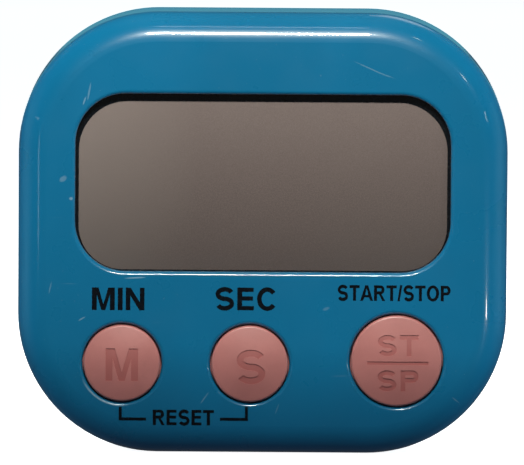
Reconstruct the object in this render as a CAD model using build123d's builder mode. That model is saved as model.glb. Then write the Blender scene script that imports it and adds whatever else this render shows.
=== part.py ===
"""Magnetic countdown timer with a segment display, three keys, a fold-out stand and one AAA cell.

Millimetres. The timer stands upright: +X is right, +Y runs from the face to the back and +Z is up.
The origin is the middle of the flat strip that the case stands on.
"""

from math import tan, radians
import os

from build123d import *

# Case
case_width = 72.0
case_height = 65.0
case_depth = 18.0
corner_radius = 20.6
face_y = -case_depth / 2
back_y = case_depth / 2
parting_y = 4.0
front_wall = 1.6
side_wall = 1.8
back_wall = 1.8
face_round = 4.2
back_round = 2.0
inner_round = 0.9
seam_chamfer = 0.15
lip_length = 1.3
lip_thickness = 0.8
lip_gap = 0.05

# Display window and display
window_width = 55.2
window_height = 26.2
window_corner = 7.4
window_z = 40.0
window_edge_round = 0.6
lens_margin = 1.6
lens_thickness = 0.6
glass_width = 58.0
glass_top = 55.3
glass_ledge_bottom = 22.5
glass_bottom = 25.5
glass_thickness = 0.7
polariser_thickness = 0.2
reflector_thickness = 0.3
display_air_gap = 0.1
zebra_length = 50.0
zebra_height = 2.3
zebra_z = 23.9

# Keys
small_key_radius = 5.63
large_key_radius = 6.68
key_min_place = (-20.58, 13.4)
key_sec_place = (-1.79, 13.4)
key_start_place = (19.80, 14.0)
key_hole_gap = 0.2
key_hole_round = 0.6
key_proud = 0.85
key_crown = 0.6
key_edge_round = 0.35
key_flange_step = 1.0
key_flange_thickness = 0.8
key_flange_gap = 0.05
key_stem_radius = 2.0
key_stem_gap = 0.05
engraving_depth = 0.14

# Circuit board and rubber keypad
board_y = -3.4
board_thickness = 1.0
board_bottom = 8.0
board_top = 27.5
board_edge_gap = 0.8
membrane_thickness = 0.8
membrane_bottom = 8.6
membrane_top = 19.4
membrane_half_width = 28.0
dome_height = 1.3
dome_foot_radius = 4.2
dome_top_radius = 2.2
dome_skin = 0.45
dome_roof = 0.95
pill_radius = 1.5
pill_thickness = 0.4

# Fasteners
case_screw_places = [(-11.0, 5.4), (11.0, 5.4), (-24.0, 58.0), (24.0, 58.0)]
case_post_radius = 2.0
case_post_end_y = 4.4
case_screw_radius = 1.0
case_screw_length = 7.0
case_screw_head_radius = 1.8
case_screw_head_height = 1.2
case_screw_seat_y = 6.2
case_screw_well_radius = 2.2
case_screw_boss_radius = 3.0
board_screw_places = [(-30.0, 19.8), (-11.2, 19.6), (8.9, 19.6), (30.0, 19.8)]
board_post_radius = 1.7
board_screw_radius = 0.75
board_screw_length = 3.4
board_screw_head_radius = 1.5
board_screw_head_height = 0.9
drive_slot_width = 0.4
thread_gap = 0.02

# Battery bay, cell and door
cell_radius = 5.25
cell_length = 44.5
cell_nub_radius = 1.9
cell_nub_length = 0.9
cell_y = 1.9
bay_z = 48.0
bay_half_length = 24.8
bay_half_height = 5.6
bay_wall = 1.0
bay_front_y = -3.4
contact_thickness = 0.3
contact_half_width = 4.4
door_half_width = 26.0
door_half_height = 6.8
door_corner = 2.0
door_thickness = 1.5
door_gap = 0.25
door_ledge = 1.0
door_edge_round = 0.3
spring_wire_radius = 0.3
spring_turn_pitch = 1.0
spring_base_radius = 3.4
spring_cone_angle = -22.0

# Stand
stand_half_width = 24.0
stand_bar = 3.6
stand_thickness = 2.2
stand_sink = 0.1
stand_hinge_z = 37.0
stand_foot_z = 8.5
stand_gap = 0.3
stand_pin_radius = 0.8
stand_pin_length = 1.4
stand_pin_clearance = 0.05
trench_wall = 1.2

# Magnets and buzzer
magnet_radius = 5.0
magnet_thickness = 2.5
magnet_x = 14.2
magnet_floor_y = 6.4
magnet_wall = 1.3
back_feature_z = 25.0
buzzer_plate_radius = 7.5
buzzer_ceramic_radius = 5.5
buzzer_layer = 0.2
buzzer_seat_y = 6.2
buzzer_ring_radius = 8.2
sound_hole_radius = 0.7
sound_hole_circle = 3.4


def facing_front(depth):
    """Sketch plane parallel to the face at a depth, with x to the right and y upwards."""
    return Plane(origin=(0, depth, 0), x_dir=(1, 0, 0), z_dir=(0, -1, 0))


def backwards(length, mode=Mode.ADD):
    """Extrude the pending sketch from its plane towards the back of the timer."""
    extrude(amount=-length, mode=mode)


def case_outline(inset=0.0, mode=Mode.ADD):
    """Rounded outline of the case, drawn a distance inside its outer surface."""
    with Locations((0, case_height / 2)):
        RectangleRounded(
            case_width - 2 * inset, case_height - 2 * inset, corner_radius - inset, mode=mode
        )


def finish_part(part, name):
    """Name a piece and write it."""
    part.label = name
    export_step(part, f"parts/{name}.step")


os.makedirs("parts", exist_ok=True)

# ---------------------------------------------------------------- front case
cavity_y = face_y + front_wall
key_places = [key_min_place, key_sec_place, key_start_place]
key_radii = [small_key_radius, small_key_radius, large_key_radius]
rib_inner_x = glass_width / 2 + 0.2
rib_thickness = 0.9
rib_height = 16.0
rib_depth = 2.6

with BuildPart() as front_case:
    with BuildSketch(facing_front(face_y)):
        case_outline()
    backwards(parting_y - face_y)
    fillet(front_case.faces().sort_by(Axis.Y)[0].edges(), face_round)
    with BuildSketch(facing_front(cavity_y)):
        case_outline(side_wall)
    backwards(parting_y - cavity_y, Mode.SUBTRACT)
    cavity_floor = front_case.faces().filter_by(Axis.Y).sort_by(Axis.Y)[1]
    fillet(cavity_floor.edges(), inner_round)
    # Display opening with a rounded edge
    with BuildSketch(facing_front(face_y)):
        with Locations((0, window_z)):
            RectangleRounded(window_width, window_height, window_corner)
    backwards(front_wall, Mode.SUBTRACT)
    fillet(front_case.faces().sort_by(Axis.Y)[0].inner_wires().edges(), window_edge_round)
    # Key holes with a smaller rounded edge
    with BuildSketch(facing_front(face_y)):
        for place, radius in zip(key_places, key_radii):
            with Locations(place):
                Circle(radius + key_hole_gap)
    backwards(front_wall, Mode.SUBTRACT)
    face_openings = front_case.faces().sort_by(Axis.Y)[0].inner_wires().sort_by(Axis.Z)
    fillet(face_openings[0:3].edges(), key_hole_round)
    # Rebate for the lip of the rear case
    with BuildSketch(facing_front(parting_y - lip_length)):
        case_outline(side_wall - lip_thickness - lip_gap)
    backwards(lip_length, Mode.SUBTRACT)
    chamfer(front_case.faces().sort_by(Axis.Y)[-1].outer_wire().edges(), seam_chamfer)
    # Posts for the case screws and the board screws
    with BuildSketch(facing_front(cavity_y)):
        with Locations(*case_screw_places):
            Circle(case_post_radius)
    backwards(case_post_end_y - cavity_y)
    with BuildSketch(facing_front(cavity_y)):
        with Locations(*board_screw_places):
            Circle(board_post_radius)
    backwards(board_y - cavity_y)
    with BuildSketch(facing_front(case_screw_seat_y - case_screw_length - 0.6)):
        with Locations(*case_screw_places):
            Circle(case_screw_radius + thread_gap)
    backwards(case_screw_length, Mode.SUBTRACT)
    with BuildSketch(facing_front(board_y + board_thickness - board_screw_length - 0.3)):
        with Locations(*board_screw_places):
            Circle(board_screw_radius + thread_gap)
    backwards(board_screw_length, Mode.SUBTRACT)
    # Ribs beside the display glass
    with BuildSketch(facing_front(cavity_y)):
        for rib_x in (-rib_inner_x - rib_thickness / 2, rib_inner_x + rib_thickness / 2):
            with Locations((rib_x, window_z)):
                Rectangle(rib_thickness, rib_height)
    backwards(rib_depth)
finish_part(front_case.part, "front_case")

# ----------------------------------------------------------------- rear case
back_inner_y = back_y - back_wall
lip_inset = side_wall - lip_thickness
stand_back_y = back_y - stand_sink
stand_front_y = stand_back_y - stand_thickness
stand_hinge_y = (stand_back_y + stand_front_y) / 2
stand_round = stand_thickness / 2
trench_floor_y = stand_front_y - stand_gap
stand_inner_half_width = stand_half_width - stand_bar
trench_top_z = stand_hinge_z + stand_round + stand_gap
pin_hole_radius = stand_pin_radius + stand_pin_clearance
pin_hole_half_width = stand_half_width + stand_pin_length + 0.2
notch_radius = 5.0
notch_depth = 1.1
door_ledge_y = back_y - door_thickness - 0.1
door_ledge_front_y = door_ledge_y - door_ledge
tab_places = [-16.0, 16.0]
tab_width = 4.0
tab_length = 0.8
tab_thickness = 0.8
tab_reach = 2.2
tab_swing_room = 0.35
tab_room_y = back_y - tab_reach - tab_thickness - tab_swing_room
tail_z = 44.4
tail_half_width = 1.0
tail_y = 0.0
tail_slot_gap = 0.1
finger_scoop_radius = 4.0
finger_scoop_depth = 0.9


def stand_outline(grow=0.0, top=stand_hinge_z, mode=Mode.ADD):
    """The U of the stand seen from the back: two legs and the bar that joins their feet."""
    outer_half = stand_half_width + grow
    inner_half = stand_inner_half_width - grow
    foot = stand_foot_z - grow
    with BuildSketch(facing_front(0), mode=Mode.PRIVATE) as shape:
        with Locations((0, foot)):
            Rectangle(2 * outer_half, top - foot, align=(Align.CENTER, Align.MIN))
        foot_corners = shape.vertices().group_by(Axis.Y)[0]
        fillet(foot_corners, 3.0 + grow)
        with Locations((0, foot + stand_bar + 2 * grow)):
            Rectangle(
                2 * inner_half, top - foot, align=(Align.CENTER, Align.MIN), mode=Mode.SUBTRACT
            )
    add(shape.sketch_local, mode=mode)


with BuildPart() as rear_case:
    with BuildSketch(facing_front(parting_y)):
        case_outline()
    backwards(back_y - parting_y)
    fillet(rear_case.faces().sort_by(Axis.Y)[-1].edges(), back_round)
    with BuildSketch(facing_front(parting_y)):
        case_outline(side_wall)
    backwards(back_inner_y - parting_y, Mode.SUBTRACT)
    chamfer(rear_case.faces().sort_by(Axis.Y)[0].outer_wire().edges(), seam_chamfer)
    # Lip that locates in the front case
    with BuildSketch(facing_front(parting_y - lip_length + lip_gap)):
        case_outline(lip_inset)
        case_outline(side_wall, Mode.SUBTRACT)
    backwards(lip_length - lip_gap + 1.0)
    # Screw bosses
    with BuildSketch(facing_front(case_post_end_y)):
        with Locations(*case_screw_places):
            Circle(case_screw_boss_radius)
    backwards(back_inner_y - case_post_end_y)
    # Battery bay, with the ledge that the door lies on
    with BuildSketch(facing_front(bay_front_y - bay_wall)):
        with Locations((0, bay_z)):
            Rectangle(2 * (bay_half_length + bay_wall), 2 * (bay_half_height + bay_wall))
    backwards(back_inner_y - bay_front_y + bay_wall)
    with BuildSketch(facing_front(door_ledge_front_y)):
        with Locations((0, bay_z)):
            Rectangle(2 * (door_half_width + 1.2), 2 * (door_half_height + 1.2))
    backwards(back_inner_y - door_ledge_front_y)
    # Floor and walls of the recess for the stand
    with BuildSketch(facing_front(trench_floor_y - trench_wall)):
        stand_outline(stand_gap + trench_wall, trench_top_z + trench_wall)
    backwards(back_inner_y - trench_floor_y + trench_wall)
    # Backing of the magnet pockets and the seat ring of the buzzer
    with BuildSketch(facing_front(magnet_floor_y - 1.0)):
        with Locations((-magnet_x, back_feature_z), (magnet_x, back_feature_z)):
            Circle(magnet_radius + magnet_wall)
    backwards(back_inner_y - magnet_floor_y + 1.0)
    with BuildSketch(facing_front(buzzer_seat_y - 1.3)):
        with Locations((0, back_feature_z)):
            Circle(buzzer_ring_radius)
    backwards(back_inner_y - buzzer_seat_y + 1.3)
    # Openings cut from the back
    with BuildSketch(facing_front(bay_front_y)):
        with Locations((0, bay_z)):
            Rectangle(2 * bay_half_length, 2 * bay_half_height)
    backwards(back_y - bay_front_y, Mode.SUBTRACT)
    with BuildSketch(facing_front(door_ledge_y)):
        with Locations((0, bay_z)):
            RectangleRounded(
                2 * (door_half_width + door_gap), 2 * (door_half_height + door_gap), door_corner
            )
    backwards(back_y - door_ledge_y, Mode.SUBTRACT)
    with BuildSketch(facing_front(back_y - finger_scoop_depth)):
        with Locations((0, bay_z + door_half_height)):
            Circle(finger_scoop_radius)
    backwards(finger_scoop_depth, Mode.SUBTRACT)
    with BuildSketch(facing_front(trench_floor_y)):
        stand_outline(stand_gap, trench_top_z)
    backwards(back_y - trench_floor_y, Mode.SUBTRACT)
    with BuildSketch(Plane.YZ.offset(-pin_hole_half_width)):
        with Locations((stand_hinge_y, stand_hinge_z)):
            Circle(pin_hole_radius)
    extrude(amount=pin_hole_half_width - stand_half_width, mode=Mode.SUBTRACT)
    with BuildSketch(Plane.YZ.offset(pin_hole_half_width)):
        with Locations((stand_hinge_y, stand_hinge_z)):
            Circle(pin_hole_radius)
    extrude(amount=-(pin_hole_half_width - stand_half_width), mode=Mode.SUBTRACT)
    with BuildSketch(facing_front(back_y - notch_depth)):
        with Locations((0, stand_foot_z)):
            Circle(notch_radius)
        with Locations((0, stand_foot_z + stand_bar)):
            Rectangle(
                3 * notch_radius, 2 * notch_radius, align=(Align.CENTER, Align.MIN), mode=Mode.SUBTRACT
            )
    backwards(notch_depth, Mode.SUBTRACT)
    with BuildSketch(facing_front(magnet_floor_y)):
        with Locations((-magnet_x, back_feature_z), (magnet_x, back_feature_z)):
            Circle(magnet_radius + 0.06)
    backwards(back_y - magnet_floor_y, Mode.SUBTRACT)
    with BuildSketch(facing_front(case_screw_seat_y)):
        with Locations(*case_screw_places):
            Circle(case_screw_well_radius)
    backwards(back_y - case_screw_seat_y, Mode.SUBTRACT)
    with BuildSketch(facing_front(case_post_end_y)):
        with Locations(*case_screw_places):
            Circle(case_screw_radius + 0.15)
    backwards(back_y - case_post_end_y, Mode.SUBTRACT)
    # Seat of the buzzer disc and its sound holes
    with BuildSketch(facing_front(buzzer_seat_y - 1.3)):
        with Locations((0, back_feature_z)):
            Circle(buzzer_plate_radius + 0.1)
    backwards(1.3, Mode.SUBTRACT)
    with BuildSketch(facing_front(buzzer_seat_y)):
        with Locations((0, back_feature_z)):
            Circle(buzzer_plate_radius - 1.2)
    backwards(back_inner_y - buzzer_seat_y, Mode.SUBTRACT)
    with BuildSketch(facing_front(back_inner_y)):
        with Locations((0, back_feature_z)):
            Circle(sound_hole_radius)
            with PolarLocations(sound_hole_circle, 6):
                Circle(sound_hole_radius)
    backwards(back_wall, Mode.SUBTRACT)
    # Room for the two door tabs and slots for the solder tails of the battery contacts
    with BuildSketch(facing_front(tab_room_y)):
        for tab_x in tab_places:
            with Locations((tab_x, bay_z - door_half_height - tab_length - tab_swing_room)):
                Rectangle(tab_width + 0.6, 3.2, align=(Align.CENTER, Align.MIN))
    backwards(door_ledge_y - tab_room_y, Mode.SUBTRACT)
    with BuildSketch(facing_front(tail_y - contact_thickness / 2 - tail_slot_gap)):
        with Locations((0, tail_z)):
            Rectangle(2 * (bay_half_length + 2 * bay_wall), 2 * (tail_half_width + tail_slot_gap))
    backwards(contact_thickness + 2 * tail_slot_gap, Mode.SUBTRACT)
finish_part(rear_case.part, "rear_case")

# -------------------------------------------------------------- battery door
door_front_y = back_y - door_thickness
groove_depth = 0.35
groove_places = [50.2, 51.4, 52.6]
latch_z = bay_z + 4.7
latch_drop = 1.3
latch_half_width = 4.0
latch_thickness = 0.8

with BuildPart() as battery_door:
    with BuildSketch(facing_front(door_front_y)):
        with Locations((0, bay_z)):
            RectangleRounded(2 * door_half_width, 2 * door_half_height, door_corner - door_gap)
    backwards(door_thickness)
    chamfer(battery_door.faces().sort_by(Axis.Y)[-1].edges(), door_edge_round)
    with BuildSketch(facing_front(back_y - tab_reach - tab_thickness)):
        for tab_x in tab_places:
            with Locations((tab_x, bay_z - door_half_height - tab_length)):
                Rectangle(tab_width, tab_length + 1.2, align=(Align.CENTER, Align.MIN))
    backwards(tab_thickness)
    with BuildSketch(facing_front(back_y - tab_reach)):
        for tab_x in tab_places:
            with Locations((tab_x, bay_z - door_half_height + 0.4)):
                Rectangle(tab_width, 0.8, align=(Align.CENTER, Align.MIN))
    backwards(tab_reach - door_thickness)
    with BuildSketch(facing_front(door_front_y - latch_drop)):
        with Locations((0, latch_z)):
            Rectangle(2 * latch_half_width, latch_thickness)
    backwards(latch_drop)
    with BuildSketch(facing_front(back_y - groove_depth)):
        for groove_z in groove_places:
            with Locations((0, groove_z)):
                SlotOverall(12.0, 0.6)
    backwards(groove_depth, Mode.SUBTRACT)
finish_part(battery_door.part, "battery_door")

# --------------------------------------------------------------------- stand
with BuildPart() as kickstand:
    with BuildSketch(facing_front(stand_front_y)):
        stand_outline()
    backwards(stand_thickness)
    stand_edges = kickstand.edges().filter_by_position(Axis.Z, 0, stand_hinge_z - 1.0)
    fillet(stand_edges.group_by(Axis.Y)[0] + stand_edges.group_by(Axis.Y)[-1], 0.5)
    with BuildSketch(Plane.YZ.offset(-stand_half_width)):
        with Locations((stand_hinge_y, stand_hinge_z)):
            Circle(stand_round)
    extrude(amount=stand_bar)
    with BuildSketch(Plane.YZ.offset(stand_half_width)):
        with Locations((stand_hinge_y, stand_hinge_z)):
            Circle(stand_round)
    extrude(amount=-stand_bar)
    with BuildSketch(Plane.YZ.offset(-stand_half_width - stand_pin_length)):
        with Locations((stand_hinge_y, stand_hinge_z)):
            Circle(stand_pin_radius)
    extrude(amount=stand_pin_length + 1.0)
    with BuildSketch(Plane.YZ.offset(stand_half_width + stand_pin_length)):
        with Locations((stand_hinge_y, stand_hinge_z)):
            Circle(stand_pin_radius)
    extrude(amount=-stand_pin_length - 1.0)
finish_part(kickstand.part, "kickstand")

with BuildPart() as magnets:
    with BuildSketch(facing_front(magnet_floor_y)):
        with Locations((-magnet_x, back_feature_z), (magnet_x, back_feature_z)):
            Circle(magnet_radius)
    backwards(magnet_thickness)
    chamfer(magnets.edges().group_by(Axis.Y)[-1], 0.25)
finish_part(magnets.part, "magnets")

# ------------------------------------------------------- window and display
lens_back_y = cavity_y + lens_thickness
with BuildPart() as display_window:
    with BuildSketch(facing_front(cavity_y)):
        with Locations((0, window_z)):
            RectangleRounded(
                window_width + 2 * lens_margin,
                window_height + 2 * lens_margin,
                window_corner + lens_margin,
            )
    backwards(lens_thickness)
finish_part(display_window.part, "display_window")


def display_layer(front_y, thickness, bottom, top, width, name):
    """One flat rectangular layer of the display."""
    with BuildPart() as layer:
        with BuildSketch(facing_front(front_y)):
            with Locations((0, bottom)):
                Rectangle(width, top - bottom, align=(Align.CENTER, Align.MIN))
        backwards(thickness)
    finish_part(layer.part, name)


polariser_y = lens_back_y + display_air_gap
front_glass_y = polariser_y + polariser_thickness
rear_glass_y = front_glass_y + glass_thickness
reflector_y = rear_glass_y + glass_thickness
polariser_inset = 0.4
display_layer(
    polariser_y,
    polariser_thickness,
    glass_bottom,
    glass_top - polariser_inset,
    glass_width - 2 * polariser_inset,
    "lcd_front_polariser",
)
display_layer(
    front_glass_y, glass_thickness, glass_ledge_bottom, glass_top, glass_width, "lcd_front_glass"
)
display_layer(rear_glass_y, glass_thickness, glass_bottom, glass_top, glass_width, "lcd_rear_glass")
display_layer(
    reflector_y,
    reflector_thickness,
    glass_bottom + polariser_inset,
    glass_top - polariser_inset,
    glass_width - 2 * polariser_inset,
    "lcd_reflector",
)

# Rubber connector from the glass ledge to the board: a conducting core between two soft cheeks
zebra_core = 0.9
with BuildPart() as zebra_strip:
    with BuildSketch(facing_front(rear_glass_y)):
        with Locations((0, zebra_z)):
            Rectangle(zebra_length, zebra_height)
    backwards(board_y - rear_glass_y)
    chamfer(zebra_strip.edges().filter_by(Axis.X), 0.2)
    with BuildSketch(facing_front(rear_glass_y)):
        with Locations((0, zebra_z)):
            Rectangle(zebra_length, zebra_core)
    backwards(board_y - rear_glass_y)
finish_part(zebra_strip.part, "zebra_strip")

# ---------------------------------------------------------------------- keys
key_crown_y = face_y - key_proud
key_flange_y = cavity_y + key_flange_gap
key_stem_y = key_flange_y + key_flange_thickness
dome_y = board_y - membrane_thickness - dome_height
letter_stroke = 1.0
small_stroke = 0.68


def letter_m(centre, width, height, stroke):
    """Capital M as one outline."""
    x, z = centre
    half = width / 2
    low = z - height / 2
    high = z + height / 2
    inner_top = half - 1.35 * stroke
    valley = 1.25 * stroke
    slope = (height - valley) / inner_top
    shoulder = low + slope * (half - 1.42 * stroke)
    right_side = [
        (x + inner_top, high),
        (x + half, high),
        (x + half, low),
        (x + half - stroke, low),
        (x + half - stroke, shoulder),
        (x + 0.42 * stroke, low),
    ]
    left_side = [(2 * x - px, pz) for px, pz in reversed(right_side)]
    Polygon(*right_side, *left_side, (x, low + valley), align=None)


def letter_s(centre, width, height, stroke):
    """Capital S as two opposite elliptic bows."""
    x, z = centre
    bow_x = (width - stroke) / 2
    bow_z = (height - stroke) / 4
    with BuildLine() as bows:
        EllipticalCenterArc((x, z + bow_z), bow_x, bow_z, start_angle=25, arc_size=245)
        EllipticalCenterArc((x, z - bow_z), bow_x, bow_z, start_angle=-155, arc_size=245)
    trace(bows.line, line_width=stroke)


def letter_t(centre, width, height, stroke):
    """Capital T as a bar on a stem."""
    x, z = centre
    with Locations((x, z + (height - stroke) / 2)):
        Rectangle(width, stroke)
    with Locations((x, z)):
        Rectangle(stroke, height)


def letter_p(centre, width, height, stroke):
    """Capital P as a stem with a round bowl."""
    x, z = centre
    bowl = height * 0.29
    stem_x = x - (width - stroke) / 2
    bowl_x = x + (width - stroke) / 2 - (bowl - stroke / 2)
    bowl_z = z + height / 2 - bowl
    with Locations((stem_x, z)):
        Rectangle(stroke, height)
    with BuildLine() as loop:
        Line((stem_x, bowl_z + bowl - stroke / 2), (bowl_x, bowl_z + bowl - stroke / 2))
        CenterArc((bowl_x, bowl_z), bowl - stroke / 2, 90, -180)
        Line((bowl_x, bowl_z - bowl + stroke / 2), (stem_x, bowl_z - bowl + stroke / 2))
    trace(loop.line, line_width=stroke)


def key_section(place):
    """Plane through the axis of a key, with x across the key and y along its travel."""
    return Plane(origin=(place[0], 0, place[1]), x_dir=(1, 0, 0), z_dir=(0, 0, 1))


def crown_ball(place, radius, below, mode):
    """Ball whose front is the crowned top of a key, or lies a depth below it."""
    crown_radius = (radius**2 + key_crown**2) / (2 * key_crown)
    with Locations((place[0], key_crown_y + crown_radius, place[1])):
        Sphere(crown_radius - below, mode=mode)


def key_body(place, radius):
    """Cap with a crowned top, a flange behind the front wall and a stem over the rubber dome."""
    with BuildSketch(key_section(place)) as profile:
        Polygon(
            (0, key_crown_y),
            (0, dome_y - key_stem_gap),
            (key_stem_radius, dome_y - key_stem_gap),
            (key_stem_radius, key_stem_y),
            (radius + key_flange_step, key_stem_y),
            (radius + key_flange_step, key_flange_y),
            (radius, key_flange_y),
            (radius, key_crown_y),
            align=None,
        )
    revolve(profile.sketch, axis=Axis((place[0], 0, place[1]), (0, 1, 0)))
    crown_ball(place, radius, 0, Mode.INTERSECT)
    rim = edges().filter_by(GeomType.CIRCLE).sort_by(Axis.Y)[0]
    fillet(rim, key_edge_round)


def engrave(letters, place, radius):
    """Cut letters into the crowned top of a key to an even depth."""
    with BuildPart(mode=Mode.PRIVATE) as cutter:
        extrude(letters, amount=-1.0 - key_crown - engraving_depth)
        crown_ball(place, radius, engraving_depth, Mode.SUBTRACT)
    add(cutter.part, mode=Mode.SUBTRACT)


letter_plane = facing_front(key_crown_y - 1.0)
with BuildPart() as key_min:
    key_body(key_min_place, small_key_radius)
    with BuildSketch(letter_plane, mode=Mode.PRIVATE) as min_letters:
        letter_m((key_min_place[0], key_min_place[1] - 0.2), 4.75, 4.8, letter_stroke)
    engrave(min_letters.sketch, key_min_place, small_key_radius)
finish_part(key_min.part, "key_min")

with BuildPart() as key_sec:
    key_body(key_sec_place, small_key_radius)
    with BuildSketch(letter_plane, mode=Mode.PRIVATE) as sec_letters:
        letter_s((key_sec_place[0] + 0.2, key_sec_place[1] - 0.4), 4.2, 5.1, letter_stroke)
    engrave(sec_letters.sketch, key_sec_place, small_key_radius)
finish_part(key_sec.part, "key_sec")

with BuildPart() as key_start_stop:
    key_body(key_start_place, large_key_radius)
    start_x, start_z = key_start_place
    with BuildSketch(letter_plane, mode=Mode.PRIVATE) as start_letters:
        letter_s((start_x - 1.35, start_z + 2.3), 2.75, 3.1, small_stroke)
        letter_t((start_x + 1.85, start_z + 2.3), 2.75, 3.1, small_stroke)
        with Locations((start_x + 0.2, start_z - 0.3)):
            Rectangle(9.0, 0.5)
        letter_s((start_x - 1.35, start_z - 2.9), 2.75, 3.1, small_stroke)
        letter_p((start_x + 1.95, start_z - 2.9), 2.6, 3.1, small_stroke)
    engrave(start_letters.sketch, key_start_place, large_key_radius)
finish_part(key_start_stop.part, "key_start_stop")

# ----------------------------------------------------- board and rubber pad
membrane_front_y = board_y - membrane_thickness
dome_inner_roof_y = dome_y + dome_roof
with BuildPart() as circuit_board:
    with BuildSketch(facing_front(board_y)):
        case_outline(side_wall + board_edge_gap)
        with Locations((0, board_top)):
            Rectangle(case_width, case_height, align=(Align.CENTER, Align.MIN), mode=Mode.SUBTRACT)
        with Locations((0, board_bottom)):
            Rectangle(case_width, case_height, align=(Align.CENTER, Align.MAX), mode=Mode.SUBTRACT)
        with Locations(*board_screw_places):
            Circle(board_screw_radius + 0.15, mode=Mode.SUBTRACT)
    backwards(board_thickness)
finish_part(circuit_board.part, "circuit_board")


def dome_profile(foot_radius, top_radius, foot_y, top_y):
    """Half section of a truncated cone about the local vertical axis."""
    Polygon((0, foot_y), (foot_radius, foot_y), (top_radius, top_y), (0, top_y), align=None)


with BuildPart() as keypad_membrane:
    with BuildSketch(facing_front(membrane_front_y)):
        with Locations((0, membrane_bottom)):
            Rectangle(
                2 * membrane_half_width,
                membrane_top - membrane_bottom,
                align=(Align.CENTER, Align.MIN),
            )
        with Locations(*board_screw_places):
            Circle(board_post_radius + 0.3, mode=Mode.SUBTRACT)
    backwards(membrane_thickness)
    for dome_x, dome_z in key_places:
        section = Plane(origin=(dome_x, 0, dome_z), x_dir=(1, 0, 0), z_dir=(0, 0, 1))
        with BuildSketch(section):
            dome_profile(dome_foot_radius, dome_top_radius, membrane_front_y, dome_y)
        revolve(axis=Axis((dome_x, 0, dome_z), (0, 1, 0)))
        with BuildSketch(section):
            dome_profile(
                dome_foot_radius - dome_skin, dome_top_radius - dome_skin / 2, board_y, dome_inner_roof_y
            )
        revolve(axis=Axis((dome_x, 0, dome_z), (0, 1, 0)), mode=Mode.SUBTRACT)
finish_part(keypad_membrane.part, "keypad_membrane")

with BuildPart() as contact_pills:
    with BuildSketch(facing_front(dome_inner_roof_y)):
        with Locations(*key_places):
            Circle(pill_radius)
    backwards(pill_thickness)
finish_part(contact_pills.part, "contact_pills")

# ------------------------------------------------- components on the board
board_back_y = board_y + board_thickness
chip_place = (-3.0, 14.0)
chip_radius = 4.4
chip_height = 1.2
with BuildPart() as chip_blob:
    blob_radius = (chip_radius**2 + chip_height**2) / (2 * chip_height)
    blob_plane = Plane(origin=(chip_place[0], 0, chip_place[1]), x_dir=(1, 0, 0), z_dir=(0, 0, 1))
    with BuildSketch(blob_plane):
        with BuildLine():
            Polyline(
                (0, board_back_y + chip_height), (0, board_back_y), (chip_radius, board_back_y)
            )
            RadiusArc((chip_radius, board_back_y), (0, board_back_y + chip_height), -blob_radius)
        make_face()
    revolve(axis=Axis((chip_place[0], 0, chip_place[1]), (0, 1, 0)))
finish_part(chip_blob.part, "chip_blob")

crystal_z = 12.0
crystal_x = 12.0
crystal_length = 6.0
crystal_radius = 1.0
lead_radius = 0.15
lead_length = 2.0
lead_spacing = 0.7
with BuildPart() as crystal_can:
    with BuildSketch(Plane.YZ.offset(crystal_x)):
        with Locations((board_back_y + crystal_radius, crystal_z)):
            Circle(crystal_radius)
    extrude(amount=crystal_length)
    fillet(crystal_can.edges().group_by(Axis.X)[-1], 0.3)
    with BuildSketch(Plane.YZ.offset(crystal_x - lead_length)):
        for lead_offset in (-lead_spacing / 2, lead_spacing / 2):
            with Locations((board_back_y + crystal_radius, crystal_z + lead_offset)):
                Circle(lead_radius)
    extrude(amount=lead_length)
    with BuildSketch(facing_front(board_back_y)):
        for lead_offset in (-lead_spacing / 2, lead_spacing / 2):
            with Locations((crystal_x - lead_length, crystal_z + lead_offset)):
                Circle(lead_radius)
    backwards(crystal_radius)
finish_part(crystal_can.part, "crystal_can")


def chip_parts(places, length, width, height, name):
    """A set of small surface-mounted parts with raised end caps."""
    with BuildPart() as parts:
        with BuildSketch(facing_front(board_back_y)):
            with Locations(*places):
                Rectangle(length - 0.5, width)
        backwards(height - 0.08)
        with BuildSketch(facing_front(board_back_y)):
            for x, z in places:
                with Locations((x - length / 2 + 0.2, z), (x + length / 2 - 0.2, z)):
                    Rectangle(0.4, width)
        backwards(height)
    finish_part(parts.part, name)


chip_parts([(6.5, 17.5), (-14.5, 13.0), (20.5, 20.5)], 2.0, 1.25, 0.9, "board_capacitors")
chip_parts([(-14.5, 16.0), (4.5, 10.2), (15.0, 20.5), (-20.0, 20.5)], 1.6, 0.8, 0.5, "board_resistors")

# -------------------------------------------------------------------- buzzer
buzzer_tape_y = buzzer_seat_y - buzzer_layer
buzzer_plate_y = buzzer_tape_y - buzzer_layer
buzzer_ceramic_y = buzzer_plate_y - buzzer_layer


def buzzer_disc(front_y, radius, name, hole_radius=0.0):
    """One round layer of the buzzer, with an optional hole."""
    with BuildPart() as disc:
        with BuildSketch(facing_front(front_y)):
            with Locations((0, back_feature_z)):
                Circle(radius)
                if hole_radius:
                    Circle(hole_radius, mode=Mode.SUBTRACT)
        backwards(buzzer_layer)
    finish_part(disc.part, name)


buzzer_disc(buzzer_tape_y, buzzer_plate_radius, "buzzer_tape_ring", buzzer_plate_radius - 1.0)
buzzer_disc(buzzer_plate_y, buzzer_plate_radius, "buzzer_plate")
buzzer_disc(buzzer_ceramic_y, buzzer_ceramic_radius, "buzzer_ceramic")

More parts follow.
